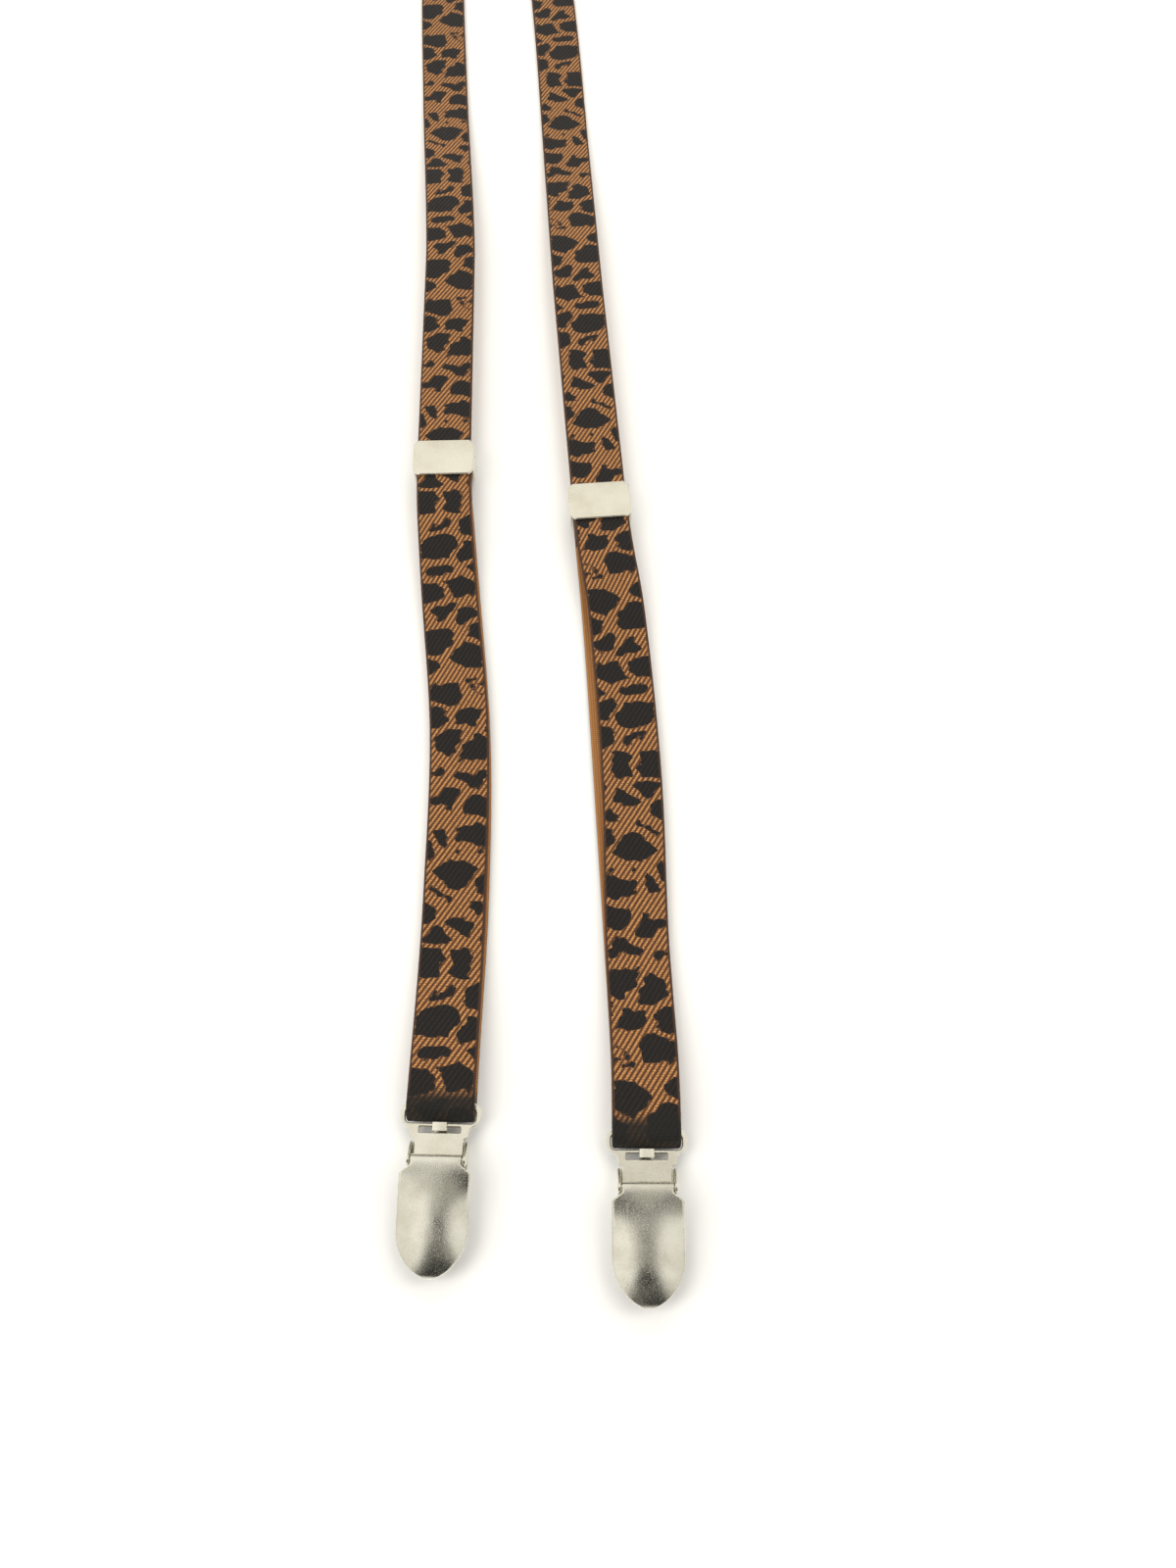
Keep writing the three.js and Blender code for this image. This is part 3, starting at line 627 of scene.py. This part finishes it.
def plate(lines, axis, low, high, rounding, spacing=5 * MM):
    """Points and faces of a flat plate with rounded edges: outlines across an axis, low to high.

    Edge points are at most the spacing apart, and points inside two and a half times that.
    """
    lines = [divided(line, spacing) for line in lines]
    rise = [(rounding * (1 - math.cos(a)), high - rounding * (1 - math.sin(a)))
            for a in np.radians([0, 30, 60, 90])] + [(rounding + 0.04 * MM, high)]
    rings = [(step, low + high - level) for step, level in rise[::-1]] + rise
    points, faces, bottom, top, rim, edges = [], [], [], [], [], []
    for line in lines:
        first, count, flat = len(points), len(line), len(rim)
        for step, level in rings:
            points += [(*place, level) for place in inset(line, step)]
        faces += ring_faces(first, len(rings), count)
        bottom += range(first, first + count)
        top += range(len(points) - count, len(points))
        edges += [(flat + k, flat + (k + 1) % count) for k in range(count)]
        rim += [place[:2] for place in points[-count:]]
    every = np.array(rim)
    grid = np.stack(np.meshgrid(*(np.arange(every[:, i].min(), every[:, i].max(), 2.5 * spacing)
                                  for i in (0, 1))), axis=-1).reshape(-1, 2)
    for place in grid[inside(grid, lines) & clear_of(grid, lines, rounding + spacing / 3)]:
        rim.append(tuple(place))
        bottom.append(len(points))
        top.append(len(points) + 1)
        points += [(*place, low), (*place, high)]
    _, _, triangles, source, _, _ = delaunay_2d_cdt(
        [Vector(place) / MM for place in rim], edges, [], 1, 1e-6)
    corners = np.array([[source[i][0] for i in triangle] for triangle in triangles])
    rims = [inset(line, rings[-1][0]) for line in lines]
    for corner in corners[inside(np.array(rim)[corners].mean(axis=1), rims)]:
        faces += [[top[i] for i in corner], [bottom[i] for i in corner[::-1]]]
    order = [(3 - axis - 1 + i) % 3 for i in range(3)]
    return np.array(points)[:, order], faces


def mirrored(part):
    points, faces = part
    return points * [-1, 1, 1], [face[::-1] for face in faces]


def metalwork(node, matrix, parts, material, body, bend=None):
    """A piece made of plates in a local frame, which takes a CAD node's place."""
    points, faces = [], []
    for part_points, part_faces in parts:
        faces += [[len(points) + i for i in face] for face in part_faces]
        points += part_points.tolist()
    points = np.array(points)
    if bend:
        points = bend(points)
    mesh = bpy.data.meshes.new(f"{node}_detailed")
    mesh.from_pydata(points.tolist(), [], faces)
    mesh.transform(matrix)
    return show(tidy_mesh(mesh), [material], [node], body)


def pin(node, body, joint, material):
    """A turned pin with slightly domed, chamfered ends."""
    matrix = local_frame(joint)
    low, high = local_box(node, matrix)
    centre, radius, half = (low + high) / 2, (high[2] - low[2]) / 2, (high[0] - low[0]) / 2
    profile = [(-half, 0), (-half + 0.04 * MM, radius * 0.6), (-half + 0.16 * MM, radius * 0.96),
               (-half + 0.3 * MM, radius), (0, radius)]
    profile += [(-x, r) for x, r in profile[-2::-1]]
    angles = np.linspace(0, math.tau, 28, endpoint=False)
    rings = [[matrix @ Vector(centre + [x, r * math.cos(a), r * math.sin(a)]) for a in angles]
             for x, r in profile]
    mesh = bpy.data.meshes.new(f"{node}_turned")
    mesh.from_pydata([p for ring in rings for p in ring], [],
                     ring_faces(0, len(rings), len(angles)))
    return show(tidy_mesh(mesh, weld=1e-6, sharp=60), [material], [node], body)


def lever_half(v, length, half_width):
    """Half the lever's width at distances from its tip: an egg-shaped end, sides, a neck."""
    shoulder, neck = (length - d for d in LEVER_SHOULDER)
    end = 1 - (1 - np.clip(v / LEVER_TIP, 0, 1)) ** 2
    return half_width * end ** LEVER_POINT + (LEVER_NECK / 2 - half_width) * ease(v, shoulder, neck)


def tucked(name):
    """A bend that narrows the jaws towards their tips, so that the lever covers them."""
    low, high = local_box(f"clip_lever_{name}", local_frame(f"{name}_lever_open"))

    def bend(points):
        room = lever_half(points[:, 1] - low[1], -low[1], high[0]) - JAW_INSET
        narrow = np.clip(room / JAW_HALF, JAW_LEAST, 1)
        points[:, 0] *= np.where(points[:, 1] < JAW_STRAIGHT, narrow, 1)
        return points

    return bend


def lever_rows(length):
    """Distances from the tip along the lever's plate, closer at the round end and shoulders."""
    shoulder, neck = (length - d for d in LEVER_SHOULDER)
    tip = LEVER_TIP * (1 - np.cos(np.linspace(0, math.pi / 2, 19)))
    return np.concatenate([tip, np.linspace(LEVER_TIP, shoulder, 11)[1:],
                           np.linspace(shoulder, neck, 9)[1:], [length]])


def lever_plate(length, half_width):
    """Upper and lower grids of the domed plate, from its tip to its neck."""
    shoulder, neck = (length - d for d in LEVER_SHOULDER)
    v = lever_rows(length)
    half = lever_half(v, length, half_width)
    x = half[:, None] * LEVER_ACROSS
    crown, droop = (1 - ease(v, shoulder - run, neck + 0.5 * MM)
                    for run in (LEVER_CROWN_RUN, LEVER_DROOP_RUN))
    end = np.clip(1 - v / LEVER_TIP_RUN, 0, 1)
    top = (LEVER_ROLL - LEVER_CROWN * crown[:, None]
           - LEVER_DROOP * droop[:, None] * (x / half_width) ** 2
           - LEVER_TIP_DROP * (1 - np.sqrt(1 - end ** 2))[:, None] + LEVER_PLATE / 2
           - LEVER_BOW * ((1 - v / length) ** 2)[:, None])
    rim = np.minimum(half[:, None] - np.abs(x), v[:, None] * 1.3)
    rounded = np.sqrt(np.clip(1 - (1 - rim / (LEVER_PLATE / 2)).clip(0) ** 2, 0, 1))
    thick = LEVER_PLATE / 2 * rounded
    y = np.broadcast_to((v - length)[:, None], x.shape)
    return [np.stack([x, y, top - LEVER_PLATE / 2 + sign * thick], axis=-1) for sign in (1, -1)]


def lever_roll():
    """Outer and inner grids of the eccentric roll that is curled round the pin."""
    angle = np.radians(np.linspace(90, -150, 31)[1:])
    reach = (LEVER_ROLL + LEVER_PLATE / 2 * (1 - ease(-angle, -1.5, -0.6))
             + (LEVER_LOBE - LEVER_ROLL) * ease(-angle, 0.2, 1.4) * (1 - ease(-angle, 1.75, 2.6)))
    columns = np.array([1.0, 0, 0]) * (LEVER_NECK / 2 * LEVER_ACROSS)[None, :, None]
    rolls = []
    for radius in (reach, np.full_like(reach, LEVER_BORE)):
        ring = np.stack([np.zeros_like(angle), radius * np.cos(angle), radius * np.sin(angle)],
                        axis=-1)
        rolls.append(ring[:, None] + columns)
    for side in (0, -1):
        rolls[0][:, side] = rolls[1][:, side] = (rolls[0][:, side] + rolls[1][:, side]) / 2
    return rolls


def lever(name, material):
    """The thumb lever: a domed oval plate, its neck, and the roll round the pin."""
    node = f"clip_lever_{name}"
    matrix = local_frame(f"{name}_lever_open")
    low, high = local_box(node, matrix)
    outer, inner = (np.concatenate(pair)
                    for pair in zip(lever_plate(-low[1], high[0]), lever_roll()))
    mesh = skin(f"{node}_domed", outer, inner)
    mesh.transform(matrix)
    mesh = tidy_mesh(mesh, weld=0.004 * MM, sharp=48)
    return show(mesh, [material], [node], f"{name}_lever")


def clip_frame(name, metal):
    """Strap loop, web, hook slot, saddle and front jaw in one stamping, thicker round the loop."""
    node, matrix = f"clip_frame_{name}", local_frame(f"{name}_lever_open")
    low, high = local_box(node, matrix)
    blade = plate(outlines(node, matrix, 2, high[2]), 2, high[2] - PLATE, high[2],
                  0.22 * MM, 0.9 * MM)
    deepening = (high - low)[2] / PLATE - 1
    narrowed = tucked(name)

    def thickened(points):
        points = narrowed(points)
        deep = ease(points[:, 1], high[1] - 7.4 * MM, high[1] - 6.2 * MM)
        points[:, 2] = high[2] + (points[:, 2] - high[2]) * (1 + deep * deepening)
        return points

    metalwork(node, matrix, [blade], metal, f"{name}_clip", thickened)


def clip_back_plate(name, metal):
    """Flat back jaw with two ears for the pin and a hook that comes up through the frame's slot."""
    node, matrix = f"clip_back_plate_{name}", local_frame(f"{name}_lever_open")
    low, high = local_box(node, matrix)
    ear = plate(outlines(node, matrix, 0, high[0]), 0, high[0] - EAR, high[0], 0.14 * MM)
    hook = plate(outlines(node, matrix, 0, HOOK_WIDTH / 2), 0, -HOOK_WIDTH / 2, HOOK_WIDTH / 2,
                 0.12 * MM)
    base = plate(outlines(node, matrix, 2, low[2]), 2, low[2], low[2] + PLATE, 0.2 * MM, 1 * MM)
    metalwork(node, matrix, [base, hook, ear, mirrored(ear)], metal, f"{name}_jaw",
              tucked(name))


def across(node, matrix, rounding):
    """A plate as wide as a CAD node, from the outlines of its end face."""
    low, high = local_box(node, matrix)
    return plate(outlines(node, matrix, 0, high[0]), 0, low[0], high[0], rounding)


def clip(name, metal, worn, pad):
    clip_frame(name, metal)
    clip_back_plate(name, metal)
    matrix = local_frame(f"{name}_lever_open")
    narrowed = tucked(name)

    def inside_corners(points):
        points = narrowed(points)
        run = points[:, 1] - points[:, 1].min()
        points[:, 0] *= 1 - PAD_TAPER * (1 - ease(run, 0, PAD_TAPERED))
        return points

    for side, body in (("front", "clip"), ("back", "jaw")):
        node = f"clip_pad_{side}_{name}"
        ridged = across(node, matrix, 0.05 * MM)
        metalwork(node, matrix, [ridged], pad, f"{name}_{body}", inside_corners)
    pin(f"clip_pin_{name}", f"{name}_jaw", f"{name}_lever_open", metal)
    lever(name, worn)


def clean(line):
    """An outline without points that repeat."""
    return line[np.linalg.norm(line - np.roll(line, 1, axis=0), axis=1) > 0.02 * MM]


def adjuster_cover(name, metal):
    """Chamfered cover with a crowned face, and two ears that hold the bar and the lock's pin."""
    node, matrix = f"adjuster_cover_{name}", local_frame(f"{name}_lock_tilt")
    low, high = local_box(node, matrix)
    face = plate(outlines(node, matrix, 2, high[2]), 2, high[2] - COVER_PLATE, high[2],
                 0.24 * MM, 0.9 * MM)
    sides = outlines(node, matrix, 0, high[0])
    for line in sides:
        line[:, 1] = np.minimum(line[:, 1], high[2] - 0.45 * MM)
        line[:, 0] = np.clip(line[:, 0], low[1] + COVER_EAR_SET, high[1] - COVER_EAR_SET)
    ear = plate([clean(line) for line in sides], 0, high[0] - EAR, high[0], 0.05 * MM)

    def crowned(points):
        along = (points[:, 1] - (low[1] + high[1]) / 2) / ((high[1] - low[1]) / 2)
        points[:, 2] -= COVER_CROWN * along ** 2 * (points[:, 2] > high[2] - 1.2 * COVER_PLATE)
        return points

    metalwork(node, matrix, [face, ear, mirrored(ear)], metal,
              f"{name}_adjuster", crowned)


def adjuster_lock(name, metal):
    """Knuckle and thumb tab in one extrusion, with a row of teeth on top."""
    node, matrix = f"adjuster_lock_{name}", local_frame(f"{name}_lock_tilt")
    low, high = local_box(node, matrix)
    parts = [across(node, matrix, 0.1 * MM)]
    count = math.floor((high[0] - low[0]) / TOOTH_PITCH)
    for i in range(count):
        end = (i - (count - 1) / 2) * TOOTH_PITCH + TOOTH_WIDTH / 2
        parts.append(plate(outlines(node, matrix, 0, end), 0, end - TOOTH_WIDTH, end, 0.03 * MM))
    metalwork(node, matrix, parts, metal, f"{name}_lock")


def adjuster(name, metal):
    """Cover, crossbar, lock pin and toothed lock."""
    adjuster_cover(name, metal)
    adjuster_lock(name, metal)
    for node in (f"adjuster_bar_{name}", f"adjuster_lock_pin_{name}"):
        pin(node, f"{name}_adjuster", f"{name}_lock_tilt", metal)


# ---------------------------------------------------------------- yoke and stitching
def yoke_half_width():
    """Half the yoke's width against Y, from its CAD outline, and its middle X."""
    points = cad_points("yoke_patch_back")
    middle = (points[:, 0].min() + points[:, 0].max()) / 2
    right = points[points[:, 0] > middle]
    right = right[np.lexsort((right[:, 0], np.round(right[:, 1], 6)))]
    keep = np.append(np.diff(np.round(right[:, 1], 6)) > 0, True)
    return (lambda y: np.interp(y, right[keep, 1], right[keep, 0]) - middle), middle


def strap_lift(x, y):
    """0 to 1: how far the front leather is lifted by the straps between the two layers."""
    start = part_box("yoke_patch_front")[0].y
    entries = [stations(f"strap_front_{name}_upper") for name in ("left", "right")]
    lifts = []
    for entry in entries:
        line = np.array(entry)
        off = np.abs(x - np.interp(y, line[:, 1], line[:, 0]))
        lifts.append((1 - ease(off, *FRONT_SWELL))
                     * (1 - ease(y - start, FRONT_STRAPS_END + 1 * MM, FRONT_STRAPS_END + 6 * MM)))
    back = np.abs(x - yoke_half_width()[1])
    lifts.append((1 - ease(back, *BACK_SWELL))
                 * ease(y - start, FRONT_STRAPS_END - 2 * MM, FRONT_STRAPS_END + 3 * MM))
    return np.maximum.reduce(lifts)


def front_leather_top(x, y):
    lift = (LEATHER_OVER_STRAP - LEATHER_PRESSED) * strap_lift(x, y)
    return LEATHER_PRESSED + LEATHER_THICK + lift


def leather_patch(node, top, material):
    """One leather layer: rounded cut edges, a groove along its seam, and its top at top(x, y)."""
    low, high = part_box(node)
    half_width, middle = yoke_half_width()
    fine = np.linspace(0, 2.5 * MM, 9)
    y = np.concatenate([low.y + fine, np.arange(low.y + 3.3 * MM, high.y - 3 * MM, 1.2 * MM),
                        high.y - fine[::-1]])
    t = np.sin(np.linspace(-math.pi / 2, math.pi / 2, 43))
    half = half_width(y)[:, None]
    x = middle + half * t
    y = np.broadcast_to(y[:, None], x.shape)
    edge = np.minimum.reduce([half - np.abs(x - middle), y - low.y, high.y - y])
    rounding = np.sqrt(np.clip(1 - (1 - edge / LEATHER_ROUNDING).clip(0) ** 2, 0, 1))
    groove = GROOVE_DEPTH * np.exp(-((edge - SEAM_INSET) / GROOVE_WIDTH) ** 2)
    upper = top(x, y)
    centre = upper - LEATHER_THICK / 2
    outer = np.stack([x, y, centre + LEATHER_THICK / 2 * rounding - groove], axis=-1)
    inner = np.stack([x, y, centre - LEATHER_THICK / 2 * rounding], axis=-1)
    mesh = skin(f"{node}_leather", outer, inner)
    show(tidy_mesh(mesh, weld=0.003 * MM, sharp=60), [material], [node], "root")


def stitch_mesh(name, stitches):
    """Thread seen on one face: each stitch is a low arch from one needle hole to the next."""
    points, faces = [], []
    angles = np.linspace(0, math.tau, THREAD_SIDES + 1)[:-1]
    for start, end in stitches:
        start, end = np.array(start), np.array(end)
        along = unit(end - start)
        side = unit(np.cross(along, UP))
        lift = np.cross(side, along)
        base = len(points)
        for t in np.linspace(0, 1, THREAD_ROWS):
            radius = THREAD_RADIUS * (0.55 + 0.45 * math.sin(math.pi * t))
            arch = 1.7 * math.sin(math.pi * t) - 0.9
            centre = start + (end - start) * t + UP * THREAD_RADIUS * arch
            points += [centre + radius * (math.cos(a) * side + math.sin(a) * lift) for a in angles]
        faces += ring_faces(base, THREAD_ROWS, THREAD_SIDES)
        faces += [list(range(base, base + THREAD_SIDES))[::-1],
                  list(range(len(points) - THREAD_SIDES, len(points)))]
    mesh = bpy.data.meshes.new(name)
    mesh.from_pydata(points, [], faces)
    return tidy_mesh(mesh, sharp=70)


def one_stitch(start, end):
    """The thread's two ends between two marks on a seam."""
    return start + (end - start) * NEEDLE_ROOM, end - (end - start) * NEEDLE_ROOM


def along_line(corners, closed=False):
    """Pairs of needle holes along a line through the corners."""
    corners = [np.array(corner) for corner in corners]
    ends = corners[1:] + ([corners[0]] if closed else [])
    stitches = []
    for start, end in zip(corners, ends):
        count = max(1, round(np.linalg.norm(end - start) / STITCH))
        marks = [start + (end - start) * i / count for i in range(count + 1)]
        stitches += [one_stitch(*pair) for pair in zip(marks, marks[1:])]
    return stitches


def yoke_seam():
    """Points round the yoke along its seam, a stitch apart."""
    low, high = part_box("yoke_patch_front")
    half_width, middle = yoke_half_width()
    y = np.linspace(low.y, high.y, 300)
    x = half_width(y)
    right = np.concatenate([np.stack([np.linspace(0, x[0], 30)[:-1], np.full(29, y[0])], axis=-1),
                            np.stack([x, y], axis=-1),
                            np.stack([np.linspace(x[-1], 0, 30)[1:], np.full(29, y[-1])], axis=-1)])
    slope = unit(np.gradient(right, axis=0))
    moved = right + SEAM_INSET * np.stack([-slope[:, 1], slope[:, 0]], axis=-1)
    moved = moved[moved[:, 0] >= 0]
    loop = np.concatenate([moved, (moved * [-1, 1])[-2:0:-1], moved[:1]])
    reach = np.concatenate([[0], np.cumsum(np.linalg.norm(np.diff(loop, axis=0), axis=1))])
    marks = np.linspace(0, reach[-1], round(reach[-1] / STITCH) + 1)[:-1]
    x, y = (np.interp(marks, reach, loop[:, i]) for i in (0, 1))
    return list(zip(middle + x, y))


def yoke(material, stitching):
    leather_patch("yoke_patch_back", lambda x, y: np.full_like(x, LEATHER_THICK), material)
    leather_patch("yoke_patch_front", front_leather_top, material)
    holes = [np.array([x, y, float(front_leather_top(np.array(x), np.array(y))) - 0.1 * MM])
             for x, y in yoke_seam()]
    pairs = [one_stitch(*pair) for pair in zip(holes, holes[1:] + holes[:1])]
    show(stitch_mesh("yoke_stitching", pairs), [stitching], (), "root")


def back_box_stitch(line, stitching):
    """The crossed box that sews down the folded end of the back strap, along its upper line."""
    low = JOINTS["back_clip_swivel"]["pos_m"][1] - BACK_TAIL + 1.5 * MM
    corners = []
    for side, y in ((-1, low), (1, low), (1, low + BOX_LENGTH), (-1, low + BOX_LENGTH)):
        x, z = (np.interp(y, line[:, 1], line[:, i]) for i in (0, 2))
        corners.append(np.array([x + side * BOX_HALF, y, z + 0.56 * MM]))
    a, b, c, d = corners
    lines = along_line(corners, closed=True) + along_line([a, c]) + along_line([b, d])
    show(stitch_mesh("back_box_stitch", lines), [stitching], (), "root")


# ---------------------------------------------------------------- scene
def camera():
    """The photograph's view: above the clips, looking down along the straps."""
    pitch, heading = math.radians(65.8), math.radians(3.2)
    forward = Vector((math.sin(heading) * math.cos(pitch), math.cos(heading) * math.cos(pitch),
                      -math.sin(pitch)))
    data = bpy.data.cameras.new("camera")
    data.sensor_fit, data.sensor_height, data.lens = "VERTICAL", 36, 27
    data.clip_start = 0.01
    viewer = bpy.data.objects.new("camera", data)
    viewer.location = (0.0073, -0.4861, 0.269)
    viewer.rotation_euler = forward.to_track_quat("-Z", "Y").to_euler()
    bpy.context.scene.collection.objects.link(viewer)
    bpy.context.scene.camera = viewer


def floor():
    mesh = bpy.data.meshes.new("floor")
    bm = bmesh.new()
    bmesh.ops.create_grid(bm, x_segments=8, y_segments=8, size=4)
    bm.to_mesh(mesh)
    bm.free()
    mesh.materials.append(pale_floor())
    surface = bpy.data.objects.new("floor", mesh)
    surface.location.z = -0.05 * MM
    bpy.context.scene.collection.objects.link(surface)


def softbox(name, place, target, size, power):
    data = bpy.data.lights.new(name, "AREA")
    data.shape, data.size, data.size_y, data.energy = "RECTANGLE", *size, power
    light = bpy.data.objects.new(name, data)
    light.location, light.visible_glossy = place, False
    light.rotation_euler = (Vector(target) - Vector(place)).to_track_quat("-Z", "Y").to_euler()
    bpy.context.scene.collection.objects.link(light)


def lights():
    """Soft boxes for the cloth, and a pale world with a dark band overhead that metal mirrors."""
    world = bpy.data.worlds.new("studio")
    world.use_nodes = True
    graph = Graph(world.node_tree)
    split = graph.add("SeparateXYZ", {"Vector": graph.add("TexCoord", {}, "Generated")}).node
    x, y = split.outputs["X"], split.outputs["Y"]
    toward = graph.math("MULTIPLY", graph.math("MINIMUM", y, 0.0), 0.45)
    low_down = graph.step(split.outputs["Z"], 0.5, 0.3)
    beside = graph.step(graph.math("ADD", graph.math("ABSOLUTE", x), toward), 0.05, 0.20)
    beyond = graph.step(y, 0.01, 0.11)
    open_sky = graph.math("MAXIMUM", graph.math("MAXIMUM", beside, beyond), low_down)
    background = world.node_tree.nodes["Background"]
    level = graph.math("MULTIPLY", graph.step(open_sky, 0.0, 1.0, 0.03, 1.0),
                       graph.step(split.outputs["Z"], 0.3, 0.85, 0.72, 1.0))
    level = graph.math("MULTIPLY", level, graph.step(x, -0.3, 0.3, 1.0, 0.9))
    graph.put(background.inputs["Strength"], level)
    background.inputs["Color"].default_value = (1.0, 0.965, 0.86, 1)
    bpy.context.scene.world = world
    softbox("left_soft", (-0.9, -0.5, 0.9), (0, -0.35, 0), (0.5, 1.6), 9)
    softbox("right_soft", (0.9, -0.2, 0.9), (0, -0.3, 0), (0.5, 1.6), 6)
    softbox("far_soft", (0.1, 1.1, 1.2), (0, 0, 0), (1.4, 0.6), 8)
    bpy.context.scene.view_settings.view_transform = "Standard"


def build():
    camera()
    webbings = [printed_webbing(), plain_webbing()]
    bright = nickel("nickel_bright", (0.90, 0.88, 0.80), (0.84, 0.80, 0.69), 0.2)
    worn = nickel("nickel_worn", (0.84, 0.83, 0.77), (0.72, 0.70, 0.62), 0.22)
    pad = rubber()
    for name, way in (("left", 1), ("right", -1)):
        front_strap(name, webbings, way)
        adjuster(name, bright)
    back_line = back_strap(webbings)
    for name in ("left", "right", "back"):
        clip(name, bright, worn, pad)
    yoke(leather(), thread("thread_black", (0.02, 0.018, 0.016), (0.09, 0.08, 0.07)))
    back_box_stitch(back_line, thread("thread_brown", (0.16, 0.08, 0.035), (0.46, 0.27, 0.12)))
    floor()
    lights()


build()
